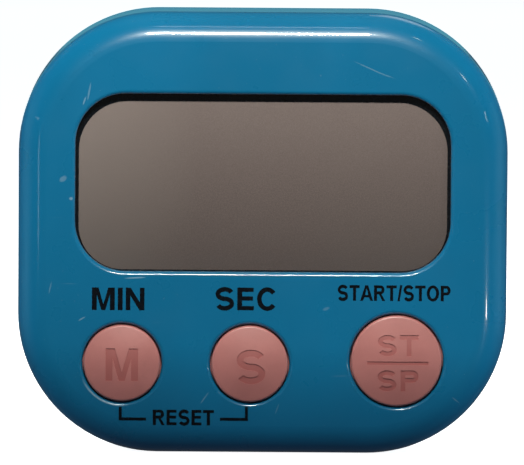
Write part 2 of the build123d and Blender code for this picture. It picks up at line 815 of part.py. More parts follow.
# ------------------------------------------------------ cell and its contacts
positive_face_x = bay_half_length - contact_thickness
dimple_height = 0.2
cell_tip_x = positive_face_x - dimple_height
cell_body_end_x = cell_tip_x - cell_nub_length
cell_bottom_x = cell_tip_x - cell_length
cell_sleeve_round = 0.5
with BuildPart() as aaa_cell:
    with BuildSketch(Plane.YZ.offset(cell_bottom_x)):
        with Locations((cell_y, bay_z)):
            Circle(cell_radius)
    extrude(amount=cell_body_end_x - cell_bottom_x)
    fillet(aaa_cell.edges().filter_by(GeomType.CIRCLE), cell_sleeve_round)
    with BuildSketch(Plane.YZ.offset(cell_body_end_x)):
        with Locations((cell_y, bay_z)):
            Circle(cell_nub_radius)
    extrude(amount=cell_nub_length)
    fillet(aaa_cell.edges().group_by(Axis.X)[-1], 0.3)
finish_part(aaa_cell.part, "aaa_cell")


def battery_contact(wall_x, side, dimple, name):
    """Sprung steel plate against the end wall of the bay, with a tail through the wall."""
    with BuildPart() as contact:
        with BuildSketch(Plane.YZ.offset(wall_x)):
            with Locations((cell_y, bay_z)):
                Rectangle(2 * contact_half_width, 2 * contact_half_width)
        extrude(amount=-side * contact_thickness)
        if dimple:
            with BuildSketch(Plane.YZ.offset(wall_x - side * contact_thickness)):
                with Locations((cell_y, bay_z)):
                    Circle(1.4)
            extrude(amount=-side * dimple_height)
        with BuildSketch(facing_front(tail_y - contact_thickness / 2)):
            with Locations((wall_x - side * contact_thickness / 2 + side * 1.2, tail_z)):
                Rectangle(2.4 + contact_thickness, 2 * tail_half_width)
        backwards(contact_thickness)
    finish_part(contact.part, name)


battery_contact(bay_half_length, 1, True, "positive_contact")
battery_contact(-bay_half_length, -1, False, "negative_contact")

spring_start_x = -bay_half_length + contact_thickness + spring_wire_radius
spring_length = cell_bottom_x - spring_start_x - spring_wire_radius
with BuildPart() as battery_spring:
    with BuildLine() as coil:
        Helix(
            pitch=spring_turn_pitch,
            height=spring_length,
            radius=spring_base_radius,
            center=(spring_start_x, cell_y, bay_z),
            direction=(1, 0, 0),
            cone_angle=spring_cone_angle,
        )
    with BuildSketch(coil.line ^ 0):
        Circle(spring_wire_radius)
    sweep(is_frenet=True)
finish_part(battery_spring.part, "battery_spring")

# --------------------------------------------------------------------- wires
power_wire_radius = 0.5
buzzer_wire_radius = 0.35


def corner_radii(points):
    """Bend radius at each inner corner: as large as its two runs allow."""
    radii = []
    for before, corner, after in zip(points, points[1:], points[2:]):
        first = Vector(*corner) - Vector(*before)
        second = Vector(*after) - Vector(*corner)
        turn = radians(first.get_angle(second))
        radii.append(0.45 * min(first.length, second.length) / tan(turn / 2))
    return radii


def wire(points, radius, name):
    """Round insulated wire along straight runs joined by tangent arcs."""
    with BuildPart() as lead:
        with BuildLine() as route:
            FilletPolyline(*points, radius=corner_radii(points))
        with BuildSketch(route.line ^ 0):
            Circle(radius)
        sweep()
    finish_part(lead.part, name)


power_wire_y = board_back_y + power_wire_radius
buzzer_wire_y = board_back_y + buzzer_wire_radius
red_wire_points = [
    (26.9, 0.7, 43.2),
    (27.6, 1.0, 38.6),
    (26.9, 0.8, 33.9),
    (25.1, -0.3, 29.6),
    (22.9, power_wire_y, 25.6),
]
black_wire_points = [
    (-26.9, 0.7, 43.2),
    (-27.5, 0.9, 38.4),
    (-26.6, 0.9, 33.6),
    (-25.0, -0.2, 29.4),
    (-23.1, power_wire_y, 25.5),
]
buzzer_red_points = [
    (2.0, buzzer_ceramic_y - buzzer_wire_radius, 26.2),
    (4.4, 4.2, 27.6),
    (6.9, 2.0, 27.3),
    (8.6, -0.4, 25.8),
    (9.6, buzzer_wire_y, 23.4),
]
buzzer_black_points = [
    (5.4, buzzer_plate_y - buzzer_wire_radius, 22.4),
    (7.4, 3.6, 20.9),
    (9.4, 1.8, 19.6),
    (11.6, -0.1, 18.6),
    (13.6, buzzer_wire_y, 17.0),
]
wire(red_wire_points, power_wire_radius, "battery_wire_red")
wire(black_wire_points, power_wire_radius, "battery_wire_black")
wire(buzzer_red_points, buzzer_wire_radius, "buzzer_wire_red")
wire(buzzer_black_points, buzzer_wire_radius, "buzzer_wire_black")

# Solder fillets that hold the board ends of the wires
solder_height = 1.1
solder_places = [
    (red_wire_points[-1], 1.2),
    (black_wire_points[-1], 1.2),
    (buzzer_red_points[-1], 0.9),
    (buzzer_black_points[-1], 0.9),
]
with BuildPart() as solder_joints:
    for (solder_x, _, solder_z), foot in solder_places:
        with BuildSketch(facing_front(board_back_y)):
            with Locations((solder_x, solder_z)):
                Circle(foot)
        extrude(amount=-solder_height, taper=30)
finish_part(solder_joints.part, "solder_joints")

# -------------------------------------------------------------------- screws


def screws(places, seat_y, head_radius, head_height, shank_radius, shank_length, name):
    """Pan-head screws driven from the back, with crossed drive slots."""
    with BuildPart() as fasteners:
        with BuildSketch(facing_front(seat_y)):
            with Locations(*places):
                Circle(head_radius)
        backwards(head_height)
        fillet(fasteners.edges().group_by(Axis.Y)[-1], 0.45 * head_height)
        with BuildSketch(facing_front(seat_y)):
            with Locations(*places):
                Circle(shank_radius)
        extrude(amount=shank_length)
        chamfer(fasteners.edges().group_by(Axis.Y)[0], 0.3 * shank_radius)
        with BuildSketch(facing_front(seat_y + 0.45 * head_height)):
            with Locations(*places):
                Rectangle(1.1 * head_radius, drive_slot_width)
                Rectangle(drive_slot_width, 1.1 * head_radius)
        backwards(head_height, Mode.SUBTRACT)
    finish_part(fasteners.part, name)


screws(
    case_screw_places,
    case_screw_seat_y,
    case_screw_head_radius,
    case_screw_head_height,
    case_screw_radius,
    case_screw_length,
    "case_screws",
)
screws(
    board_screw_places,
    board_back_y,
    board_screw_head_radius,
    board_screw_head_height,
    board_screw_radius,
    board_screw_length,
    "board_screws",
)
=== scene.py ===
"""Looks of the lab timer: materials for every part, printed legends, studio floor, lights and camera."""

import math

import bpy
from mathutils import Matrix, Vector


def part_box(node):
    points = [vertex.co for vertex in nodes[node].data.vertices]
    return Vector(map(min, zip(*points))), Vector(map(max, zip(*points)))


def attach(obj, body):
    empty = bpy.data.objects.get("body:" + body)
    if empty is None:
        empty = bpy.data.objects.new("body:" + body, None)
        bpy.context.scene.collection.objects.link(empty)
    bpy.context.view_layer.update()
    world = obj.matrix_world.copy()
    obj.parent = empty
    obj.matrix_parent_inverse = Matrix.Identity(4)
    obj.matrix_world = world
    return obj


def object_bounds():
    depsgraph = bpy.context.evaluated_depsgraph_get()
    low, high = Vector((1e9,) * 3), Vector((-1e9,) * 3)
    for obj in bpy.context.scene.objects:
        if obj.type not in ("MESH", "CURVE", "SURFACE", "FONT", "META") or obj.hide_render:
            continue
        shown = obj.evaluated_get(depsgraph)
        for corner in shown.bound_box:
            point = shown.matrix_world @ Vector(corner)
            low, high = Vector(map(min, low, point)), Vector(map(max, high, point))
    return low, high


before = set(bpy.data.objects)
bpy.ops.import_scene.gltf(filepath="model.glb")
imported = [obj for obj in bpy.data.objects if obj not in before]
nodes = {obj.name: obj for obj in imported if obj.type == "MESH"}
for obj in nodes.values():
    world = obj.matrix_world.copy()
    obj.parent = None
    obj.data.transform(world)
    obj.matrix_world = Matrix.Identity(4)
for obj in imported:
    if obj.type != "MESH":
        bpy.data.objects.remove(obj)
cad_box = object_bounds()
scene = bpy.context.scene

MM = 0.001
case_low, case_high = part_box("front_case")
face_y = case_low.y
case_width = case_high.x - case_low.x
case_height = case_high.z - case_low.z
cell_low, cell_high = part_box("aaa_cell")
window_low, window_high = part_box("display_window")


# ------------------------------------------------------------------ node helpers
class Nodes:
    """A short way to build a material's node tree."""

    def __init__(self, name):
        self.material = bpy.data.materials.new(name)
        self.material.use_nodes = True
        self.tree = self.material.node_tree
        self.shader = self.tree.nodes["Principled BSDF"]
        self.output = self.tree.nodes["Material Output"]
        self.place = self.add("ShaderNodeTexCoord").outputs["Object"]

    def add(self, kind, **settings):
        """A node, with its plain properties set."""
        node = self.tree.nodes.new(kind)
        for key, value in settings.items():
            setattr(node, key, value)
        return node

    def join(self, source, target):
        """A link from an output to an input."""
        self.tree.links.new(source, target)

    def set(self, **values):
        """Constants on the shader's own sockets, by their names with _ for a space."""
        for key, value in values.items():
            self.shader.inputs[key.replace("_", " ")].default_value = value

    def noise(self, scale, detail=3.0, roughness=0.5, stretch=(1, 1, 1), distortion=0.0):
        """Noise over the object's own coordinates, in features per metre."""
        mapping = self.add("ShaderNodeMapping")
        mapping.inputs["Scale"].default_value = stretch
        self.join(self.place, mapping.inputs["Vector"])
        node = self.add("ShaderNodeTexNoise")
        node.inputs["Scale"].default_value = scale
        node.inputs["Detail"].default_value = detail
        node.inputs["Roughness"].default_value = roughness
        node.inputs["Distortion"].default_value = distortion
        self.join(mapping.outputs["Vector"], node.inputs["Vector"])
        return node.outputs["Fac"]

    def spread(self, value, low, high, to_low=0.0, to_high=1.0, smooth=True):
        """Map a range of a value to another range, clamped."""
        node = self.add("ShaderNodeMapRange")
        node.interpolation_type = "SMOOTHSTEP" if smooth else "LINEAR"
        node.inputs["From Min"].default_value = low
        node.inputs["From Max"].default_value = high
        node.inputs["To Min"].default_value = to_low
        node.inputs["To Max"].default_value = to_high
        self.join(value, node.inputs["Value"])
        return node.outputs["Result"]

    def math(self, operation, first, second=None):
        """A math node on sockets or numbers."""
        node = self.add("ShaderNodeMath", operation=operation)
        for socket, value in zip(node.inputs, (first, second)):
            if value is None:
                continue
            if isinstance(value, (int, float)):
                socket.default_value = value
            else:
                self.join(value, socket)
        return node.outputs["Value"]

    def mix(self, factor, first, second):
        """A mix of two colours, each a socket or an RGB tuple."""
        node = self.add("ShaderNodeMix", data_type="RGBA")
        if isinstance(factor, (int, float)):
            node.inputs["Factor"].default_value = factor
        else:
            self.join(factor, node.inputs["Factor"])
        for name, value in (("A", first), ("B", second)):
            socket = [s for s in node.inputs if s.name == name and s.type == "RGBA"][0]
            if isinstance(value, tuple):
                socket.default_value = (*value, 1.0)
            else:
                self.join(value, socket)
        return [s for s in node.outputs if s.type == "RGBA"][0]

    def bump(self, *layers):
        """Stack bump layers, each (height socket, distance in metres)."""
        normal = None
        for height, distance in layers:
            node = self.add("ShaderNodeBump")
            node.inputs["Strength"].default_value = 1.0
            node.inputs["Distance"].default_value = distance
            self.join(height, node.inputs["Height"])
            if normal is not None:
                self.join(normal, node.inputs["Normal"])
            normal = node.outputs["Normal"]
        self.join(normal, self.shader.inputs["Normal"])

    def colour(self, socket):
        """A socket as the shader's base colour."""
        self.join(socket, self.shader.inputs["Base Color"])

    def rough(self, socket):
        """A socket as the shader's roughness."""
        self.join(socket, self.shader.inputs["Roughness"])


def shade(colour, factor):
    """A colour made lighter or darker."""
    return tuple(min(1.0, channel * factor) for channel in colour)


# ---------------------------------------------------------------------- materials
# Colours are linear RGB, each channel 0 to 1
CASE_BLUE = (0.003, 0.151, 0.310)
# Pale blue of scratches, scuff marks and dust, also used for the painted glints on the face and on a key
# hole's rim
WEAR_DUST_AND_GLINT_BLUE = (0.42, 0.56, 0.64)
KEY_PINK = (0.505, 0.172, 0.159)
# Height of a key's crowned top, and how far its flange reaches past the cap
KEY_CROWN = 0.6 * MM
KEY_FLANGE_STEP = 1.0 * MM
# How much the noise breaks up the outline of each face mark, scuff marks and the painted glint alike
MARK_RAGGEDNESS = 0.5
# Painted highlight along an arc of the first key's hole rim: x, z, radius and width in mm, then its middle
# and half its turn in degrees
PAINTED_RIM_GLINT = (-20.58, 13.4, 6.25, 0.42, 240, 42)
# Marks on the face, the first a painted glint below the window and the rest scuff marks and scratches: x, z,
# length, width in mm, turn in degrees, strength
FACE_SCUFFS_AND_GLINT = (
    (-18.6, 26.0, 3.6, 0.26, 3, 1.0),
    (-25.6, 53.4, 3.2, 0.35, 80, 0.5),
    (-26.3, 52.0, 1.6, 0.30, 70, 0.7),
    (-29.4, 40.5, 1.4, 0.9, 35, 0.5),
    (-28.2, 37.6, 0.7, 0.6, 0, 0.8),
    (15.9, 56.9, 6.4, 0.22, -24, 0.5),
    (17.6, 56.2, 4.0, 0.18, -20, 0.45),
    (-26.5, 19.9, 1.5, 0.25, 30, 0.7),
    (-8.4, 8.3, 2.4, 0.20, 55, 0.6),
    (2.3, 6.8, 2.0, 0.20, 70, 0.5),
    (9.4, 21.6, 1.2, 0.5, 20, 0.35),
    (28.6, 8.2, 1.8, 0.22, -40, 0.5),
    (-31.2, 24.4, 2.2, 0.24, 78, 0.4),
)


def face_mark_mask(m, ragged, x, z, length, width, turn):
    """Mask of one long mark on the face, its outline broken up by a ragged noise. Sizes in millimetres."""
    mapping = m.add("ShaderNodeMapping", vector_type="TEXTURE")
    mapping.inputs["Location"].default_value = (x * MM, 0, z * MM)
    mapping.inputs["Rotation"].default_value = (0, math.radians(-turn), 0)
    mapping.inputs["Scale"].default_value = (length * MM / 2, 1.0, width * MM / 2)
    m.join(m.place, mapping.inputs["Vector"])
    size = m.add("ShaderNodeVectorMath", operation="LENGTH")
    m.join(mapping.outputs["Vector"], size.inputs[0])
    broken = m.math("ADD", size.outputs["Value"], m.math("MULTIPLY", ragged, MARK_RAGGEDNESS))
    average = MARK_RAGGEDNESS * 0.5
    return m.spread(broken, 1.0 + average, 0.55 + average)


def painted_rim_glint(m, x, z, radius, width, middle, half_turn):
    """Mask of a painted highlight along an arc of a key hole's rim. Sizes in millimetres, angles in degrees
    from +X upwards.
    """
    local = m.add("ShaderNodeVectorMath", operation="SUBTRACT")
    local.inputs[1].default_value = (x * MM, face_y, z * MM)
    m.join(m.place, local.inputs[0])
    flat = m.add("ShaderNodeVectorMath", operation="MULTIPLY")
    flat.inputs[1].default_value = (1, 0, 1)
    m.join(local.outputs["Vector"], flat.inputs[0])
    size = m.add("ShaderNodeVectorMath", operation="LENGTH")
    m.join(flat.outputs["Vector"], size.inputs[0])
    towards = m.add("ShaderNodeVectorMath", operation="DOT_PRODUCT")
    towards.inputs[1].default_value = (math.cos(math.radians(middle)), 0, math.sin(math.radians(middle)))
    m.join(flat.outputs["Vector"], towards.inputs[0])
    cosine = m.math("DIVIDE", towards.outputs["Value"], size.outputs["Value"])
    arc = m.spread(cosine, math.cos(math.radians(half_turn)), math.cos(math.radians(half_turn * 0.35)))
    off = m.math("ABSOLUTE", m.math("SUBTRACT", size.outputs["Value"], radius * MM))
    line = m.spread(off, width * MM / 2, width * MM / 8)
    return m.math("MULTIPLY", arc, line)


def glossy_case(name, colour, scuffs_and_glint=()):
    """Polished blue moulding: sharp gloss over a soft sheen, faint flow marks, scuff marks and a little dust,
    and where given, painted glints on the face and on a key hole's rim.
    """
    m = Nodes(name)
    flow = m.noise(42, detail=4.0, stretch=(1, 1, 0.6))
    body = m.mix(m.spread(flow, 0.3, 0.7), shade(colour, 0.93), shade(colour, 1.07))
    scratch = m.noise(900, detail=2.0, stretch=(0.06, 1, 1.0), distortion=0.2)
    wipe = m.noise(60, detail=3.0)
    marks = m.math("MULTIPLY", m.spread(scratch, 0.70, 0.78), m.spread(wipe, 0.52, 0.66))
    ragged = m.noise(1400, detail=4.0, roughness=0.65)
    marks = m.math("MULTIPLY", marks, 0.6)
    for *shape, strength in scuffs_and_glint:
        mask = m.math("MULTIPLY", face_mark_mask(m, ragged, *shape), strength)
        marks = m.math("MAXIMUM", marks, mask)
    if scuffs_and_glint:
        # Painted highlight on the lower left of the first key's hole rim
        marks = m.math("MAXIMUM", marks, painted_rim_glint(m, *PAINTED_RIM_GLINT))
    dust = m.math("MULTIPLY", m.spread(m.noise(2600, detail=1.0), 0.76, 0.82), m.spread(wipe, 0.40, 0.58))
    # Real wear and painted highlights share this pale blue: scratches, scuff marks, the painted face glint
    # and the painted rim highlight
    body = m.mix(m.math("MULTIPLY", marks, 0.40), body, WEAR_DUST_AND_GLINT_BLUE)
    body = m.mix(m.math("MULTIPLY", dust, 0.12), body, WEAR_DUST_AND_GLINT_BLUE)
    m.colour(body)
    m.rough(m.spread(m.noise(130, detail=4.0), 0.35, 0.75, 0.27, 0.35))
    m.set(IOR=1.5, Specular_IOR_Level=0.33, Coat_Weight=0.75, Coat_IOR=1.5)
    coat_rough = m.math("ADD", m.spread(wipe, 0.3, 0.7, 0.05, 0.10), m.math("MULTIPLY", marks, 0.3))
    m.join(coat_rough, m.shader.inputs["Coat Roughness"])
    m.bump((m.noise(330, detail=2.0), 0.0035 * MM), (marks, 0.002 * MM))
    m.join(m.shader.inputs["Normal"].links[0].from_socket, m.shader.inputs["Coat Normal"])
    return m.material


def soft_key(name, colour, node_name):
    """Matte moulding of a key: fine grain, with painted shade darkening the floors of its engraved letters.
    """
    m = Nodes(name)
    low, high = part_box(node_name)
    radius = (high.x - low.x) / 2 - KEY_FLANGE_STEP
    centre = Vector(((low.x + high.x) / 2, low.y, (low.z + high.z) / 2))
    tint = m.noise(210, detail=4.0)
    body = m.mix(m.spread(tint, 0.3, 0.7), shade(colour, 0.95), shade(colour, 1.04))
    grime = m.spread(m.noise(900, detail=3.0), 0.58, 0.78)
    body = m.mix(m.math("MULTIPLY", grime, 0.12), body, shade(colour, 0.6))
    # Depth below the crown, which is close to a paraboloid
    local = m.add("ShaderNodeVectorMath", operation="SUBTRACT")
    local.inputs[1].default_value = centre
    m.join(m.place, local.inputs[0])
    parts = m.add("ShaderNodeSeparateXYZ")
    m.join(local.outputs["Vector"], parts.inputs["Vector"])
    square = m.math("ADD", m.math("POWER", parts.outputs["X"], 2), m.math("POWER", parts.outputs["Z"], 2))
    crown = m.math("MULTIPLY", square, KEY_CROWN / radius**2)
    depth = m.math("SUBTRACT", parts.outputs["Y"], crown)
    # Painted shade: the floors of the engraved letters get a darker, redder colour that stands in for the
    # shade in these recesses
    inside = m.spread(square, (radius - 0.5 * MM) ** 2, (radius - 0.7 * MM) ** 2)
    engraving_shade_mask = m.math("MULTIPLY", m.spread(depth, 0.02 * MM, 0.11 * MM), inside)
    engraving_shade_colour = (colour[0] * 0.82, colour[1] * 0.68, colour[2] * 0.68)
    m.colour(m.mix(engraving_shade_mask, body, engraving_shade_colour))
    m.rough(m.spread(m.noise(260, detail=3.0), 0.3, 0.7, 0.42, 0.50))
    m.set(IOR=1.5, Specular_IOR_Level=0.85)
    m.bump((m.noise(5200, detail=2.0), 0.006 * MM))
    return m.material


def satin_plastic(name, colour, roughness, grain=2600):
    """Plain matte or satin material, such as plastic, rubber or ceramic, with an even grain."""
    m = Nodes(name)
    body = m.mix(m.spread(m.noise(120, detail=4.0), 0.3, 0.7), shade(colour, 0.9), shade(colour, 1.1))
    m.colour(body)
    m.rough(m.spread(m.noise(400, detail=3.0), 0.3, 0.7, roughness - 0.06, roughness + 0.06))
    m.bump((m.noise(grain, detail=2.0), 0.006 * MM))
    return m.material


def metal(name, colour, roughness, metallic=0.6):
    """Plated or drawn metal with an almost even polish and dull patches."""
    m = Nodes(name)
    dull = m.spread(m.noise(240, detail=3.0), 0.45, 0.75)
    m.colour(m.mix(m.math("MULTIPLY", dull, 0.3), colour, shade(colour, 0.7)))
    m.rough(m.spread(m.noise(420, detail=3.0), 0.3, 0.7, roughness - 0.04, roughness + 0.06))
    m.set(Metallic=metallic)
    m.bump((m.noise(420, detail=2.0), 0.0006 * MM))
    return m.material


def clear_window(name):
    """Clear plastic or glass: see-through, with a sharp reflection that grows at grazing angles."""
    m = Nodes(name)
    angle = m.add("ShaderNodeLayerWeight")
    angle.inputs["Blend"].default_value = 0.5
    grazing = m.math("POWER", angle.outputs["Facing"], 5)
    straight_on = 0.039
    mirror = m.spread(grazing, 0, 1, straight_on, 1.0, smooth=False)
    clear = m.add("ShaderNodeBsdfTransparent")
    clear.inputs["Color"].default_value = (0.97, 0.98, 0.98, 1.0)
    gloss = m.add("ShaderNodeBsdfGlossy")
    gloss.inputs["Roughness"].default_value = 0.04
    blend = m.add("ShaderNodeMixShader")
    m.join(mirror, blend.inputs["Fac"])
    m.join(clear.outputs["BSDF"], blend.inputs[1])
    m.join(gloss.outputs["BSDF"], blend.inputs[2])
    m.join(blend.outputs["Shader"], m.output.inputs["Surface"])
    smear = m.add("ShaderNodeBump")
    smear.inputs["Distance"].default_value = 0.004 * MM
    m.join(m.noise(90, detail=3.0), smear.inputs["Height"])
    m.join(smear.outputs["Normal"], gloss.inputs["Normal"])
    m.tree.nodes.remove(m.shader)
    return m.material


def polariser(name):
    """Idle display film: warm grey with a fine anti-glare sparkle, and painted light that makes it lighter
    towards the top and the left.
    """
    m = Nodes(name)
    grain = m.noise(5200, detail=2.0, roughness=0.7)
    cloud = m.noise(38, detail=3.0)
    body = m.mix(m.spread(grain, 0.25, 0.75), (0.163, 0.117, 0.108), (0.213, 0.153, 0.144))
    body = m.mix(m.math("MULTIPLY", m.spread(cloud, 0.35, 0.7), 0.4), body, (0.21, 0.161, 0.148))
    split = m.add("ShaderNodeSeparateXYZ")
    m.join(m.place, split.inputs["Vector"])
    # Painted light: the film is made lighter towards the left
    left = m.spread(split.outputs["X"], -10 * MM, -28 * MM, smooth=False)
    body = m.mix(m.math("MULTIPLY", left, 0.8), body, (0.28, 0.215, 0.197))
    # Painted shading: the film's colour is scaled from darker at the bottom of the window to lighter at the
    # top
    high = m.spread(split.outputs["Z"], window_low.z, window_high.z, smooth=False)
    painted_shading = m.add("ShaderNodeVectorMath", operation="SCALE")
    m.join(body, painted_shading.inputs[0])
    m.join(m.spread(high, 0.0, 1.0, 0.55, 1.37, smooth=False), painted_shading.inputs["Scale"])
    m.colour(painted_shading.outputs["Vector"])
    m.rough(m.spread(grain, 0.3, 0.7, 0.42, 0.55))
    m.set(IOR=1.45, Specular_IOR_Level=0.35)
    m.bump((grain, 0.005 * MM))
    return m.material


def board_green(name):
    """Solder mask over copper: two greens in a fine track pattern, with a woven fibre texture below."""
    m = Nodes(name)
    tracks = m.add("ShaderNodeTexBrick")
    tracks.inputs["Scale"].default_value = 240
    tracks.inputs["Mortar Size"].default_value = 0.12
    turned = m.add("ShaderNodeMapping")
    turned.inputs["Rotation"].default_value = (math.radians(90), 0, 0)
    m.join(m.place, turned.inputs["Vector"])
    m.join(turned.outputs["Vector"], tracks.inputs["Vector"])
    body = m.mix(tracks.outputs["Fac"], (0.015, 0.085, 0.035), (0.03, 0.15, 0.06))
    m.colour(m.mix(m.spread(m.noise(800), 0.4, 0.7, 0, 0.3), body, (0.02, 0.11, 0.05)))
    m.rough(m.spread(m.noise(2000), 0.3, 0.7, 0.28, 0.42))
    m.bump((tracks.outputs["Fac"], 0.02 * MM), (m.noise(6000), 0.004 * MM))
    return m.material


def banded_cell(name, low_x, high_x):
    """Cell along X: dark sleeve with a copper-coloured end band and bare steel ends, with no lettering."""
    m = Nodes(name)
    split = m.add("ShaderNodeSeparateXYZ")
    m.join(m.place, split.inputs["Vector"])
    x = split.outputs["X"]
    length = high_x - low_x
    band = m.spread(x, high_x - 0.30 * length, high_x - 0.298 * length)
    nub_end = m.spread(x, high_x - 1.4 * MM, high_x - 1.3 * MM)
    flat_end = m.spread(x, low_x + 0.5 * MM, low_x + 0.4 * MM)
    body = m.mix(band, (0.012, 0.014, 0.018), (0.55, 0.25, 0.07))
    ends = m.math("MAXIMUM", nub_end, flat_end)
    body = m.mix(ends, body, (0.62, 0.62, 0.60))
    m.colour(m.mix(m.spread(m.noise(700), 0.5, 0.75, 0, 0.05), body, (0.2, 0.2, 0.2)))
    m.join(ends, m.shader.inputs["Metallic"])
    m.rough(m.spread(m.noise(500), 0.3, 0.7, 0.2, 0.34))
    m.bump((m.noise(900), 0.004 * MM))
    return m.material


def ink(name):
    """Screen-printed black ink: nearly flat, with pinholes and soft thin patches."""
    m = Nodes(name)
    thin = m.spread(m.noise(2400, detail=3.0), 0.62, 0.8)
    m.colour(m.mix(m.math("MULTIPLY", thin, 0.4), (0.0028, 0.0042, 0.007), (0.004, 0.03, 0.06)))
    m.rough(m.spread(m.noise(900), 0.3, 0.7, 0.20, 0.30))
    m.set(Specular_IOR_Level=0.3)
    m.bump((m.noise(3800), 0.002 * MM))
    return m.material


blue = glossy_case("case_blue", CASE_BLUE, FACE_SCUFFS_AND_GLINT)
rear_blue = glossy_case("rear_blue", shade(CASE_BLUE, 0.92))
trim_blue = satin_plastic("trim_blue", shade(CASE_BLUE, 0.9), roughness=0.32)
nickel = metal("nickel", (0.72, 0.70, 0.66), 0.28)
steel = metal("screw_steel", (0.70, 0.70, 0.71), 0.32)
glass = clear_window("display_glass")

node_materials = {
    "front_case": blue,
    "rear_case": rear_blue,
    "battery_door": rear_blue,
    "kickstand": trim_blue,
    "display_window": clear_window("clear_window"),
    "lcd_front_polariser": polariser("polariser"),
    "lcd_front_glass": glass,
    "lcd_rear_glass": glass,
    "lcd_reflector": metal("reflector_film", (0.55, 0.56, 0.53), 0.4),
    "zebra_strip": satin_plastic("zebra_rubber", (0.62, 0.40, 0.46), 0.6),
    "key_min": soft_key("key_pink_min", KEY_PINK, "key_min"),
    "key_sec": soft_key("key_pink_sec", KEY_PINK, "key_sec"),
    "key_start_stop": soft_key("key_pink_start_stop", KEY_PINK, "key_start_stop"),
    "keypad_membrane": satin_plastic("membrane_rubber", (0.50, 0.50, 0.47), 0.65),
    "contact_pills": satin_plastic("carbon", (0.012, 0.012, 0.012), 0.7),
    "circuit_board": board_green("board_green"),
    "chip_blob": satin_plastic("epoxy_black", (0.008, 0.008, 0.009), 0.2, grain=500),
    "crystal_can": metal("crystal_steel", (0.68, 0.68, 0.66), 0.25),
    "board_capacitors": satin_plastic("capacitor_tan", (0.42, 0.29, 0.16), 0.35),
    "board_resistors": satin_plastic("resistor_black", (0.02, 0.02, 0.022), 0.35),
    "buzzer_tape_ring": satin_plastic("tape_white", (0.75, 0.75, 0.72), 0.6),
    "buzzer_plate": metal("brass_disc", (0.72, 0.50, 0.20), 0.3),
    "buzzer_ceramic": satin_plastic("ceramic_grey", (0.62, 0.61, 0.55), 0.5),
    "buzzer_wire_red": satin_plastic("wire_red", (0.45, 0.015, 0.015), 0.35),
    "buzzer_wire_black": satin_plastic("wire_black", (0.012, 0.012, 0.012), 0.35),
    "aaa_cell": banded_cell("cell_sleeve", cell_low.x, cell_high.x),
    "positive_contact": nickel,
    "negative_contact": nickel,
    "battery_spring": nickel,
    "battery_wire_red": satin_plastic("power_wire_red", (0.45, 0.015, 0.015), 0.35),
    "battery_wire_black": satin_plastic("power_wire_black", (0.012, 0.012, 0.012), 0.35),
    "solder_joints": metal("solder", (0.62, 0.62, 0.60), 0.3),
    "magnets": metal("magnet_nickel", (0.76, 0.75, 0.72), 0.26, metallic=0.8),
    "case_screws": steel,
    "board_screws": steel,
}
for node_name, material in node_materials.items():
    mesh = nodes[node_name].data
    mesh.materials.clear()
    mesh.materials.append(material)


# ------------------------------------------------------------------------ legends
# Each glyph function returns a width and the outlines of a letter of height 1, and all are called alike,
# with stem and bar, the widths of its upright and level strokes
def arc_points(centre, radii, start, end, steps=24):
    """Points on an elliptic arc, angles in degrees."""
    points = []
    for step in range(steps + 1):
        angle = math.radians(start + (end - start) * step / steps)
        points.append((centre[0] + radii[0] * math.cos(angle), centre[1] + radii[1] * math.sin(angle)))
    return points


def thick_line(points, width):
    """Outline of a stroke of even width along a run of points, with square ends."""
    left, right = [], []
    for index, point in enumerate(points):
        before = Vector(points[max(index - 1, 0)])
        after = Vector(points[min(index + 1, len(points) - 1)])
        direction = (after - before).normalized()
        side = Vector((-direction.y, direction.x)) * width / 2
        left.append(tuple(Vector(point) + side))
        right.append(tuple(Vector(point) - side))
    return left + right[::-1]


def glyph_m(stem, bar, width=0.965):
    inner = width / 2 - 1.35 * stem
    valley = 1.25 * stem
    slope = (1 - valley) / inner
    shoulder = slope * (width / 2 - 1.42 * stem)
    half = [
        (width / 2 + inner, 1),
        (width, 1),
        (width, 0),
        (width - stem, 0),
        (width - stem, shoulder),
        (width / 2 + 0.42 * stem, 0),
    ]
    other = [(width - x, y) for x, y in reversed(half)]
    return width, [half + other + [(width / 2, valley)]]


def glyph_n(stem, bar, width=0.79):
    foot = 0.35
    return width, [[
        (0, 0), (0, 1), (1.02 * stem, 1), (width - 0.94 * stem, foot), (width - 0.94 * stem, 1),
        (width, 1), (width, 0), (width - 1.02 * stem, 0), (0.94 * stem, 1 - foot), (0.94 * stem, 0),
    ]]


def glyph_i(stem, bar):
    return stem, [[(0, 0), (0, 1), (stem, 1), (stem, 0)]]


def glyph_e(stem, bar, width=0.73):
    middle = 0.94 * width
    return width, [[
        (0, 0), (0, 1), (0.98 * width, 1), (0.98 * width, 1 - bar), (stem, 1 - bar),
        (stem, 0.52 + bar / 2), (middle, 0.52 + bar / 2), (middle, 0.52 - bar / 2),
        (stem, 0.52 - bar / 2), (stem, bar), (width, bar), (width, 0),
    ]]


def glyph_t(stem, bar, width=0.80):
    left, right = width / 2 - stem / 2, width / 2 + stem / 2
    return width, [[
        (left, 0), (left, 1 - bar), (0, 1 - bar), (0, 1), (width, 1), (width, 1 - bar),
        (right, 1 - bar), (right, 0),
    ]]


def glyph_s(stem, bar, width=0.83):
    over = 1.03
    bow = ((width - stem) / 2, (over - bar) / 4)
    middle = width / 2
    upper = arc_points((middle, 0.5 + bow[1]), bow, 22, 270)
    lower = arc_points((middle, 0.5 - bow[1]), bow, 90, -158)
    return width, [thick_line(upper + lower[1:], 0.5 * (stem + bar))]


def glyph_c(stem, bar, width=0.88):
    radii = (width * 0.52 - stem / 2, 0.515 - bar / 2)
    return width, [thick_line(arc_points((width * 0.52, 0.5), radii, 38, 322, 40), 0.5 * (stem + bar))]


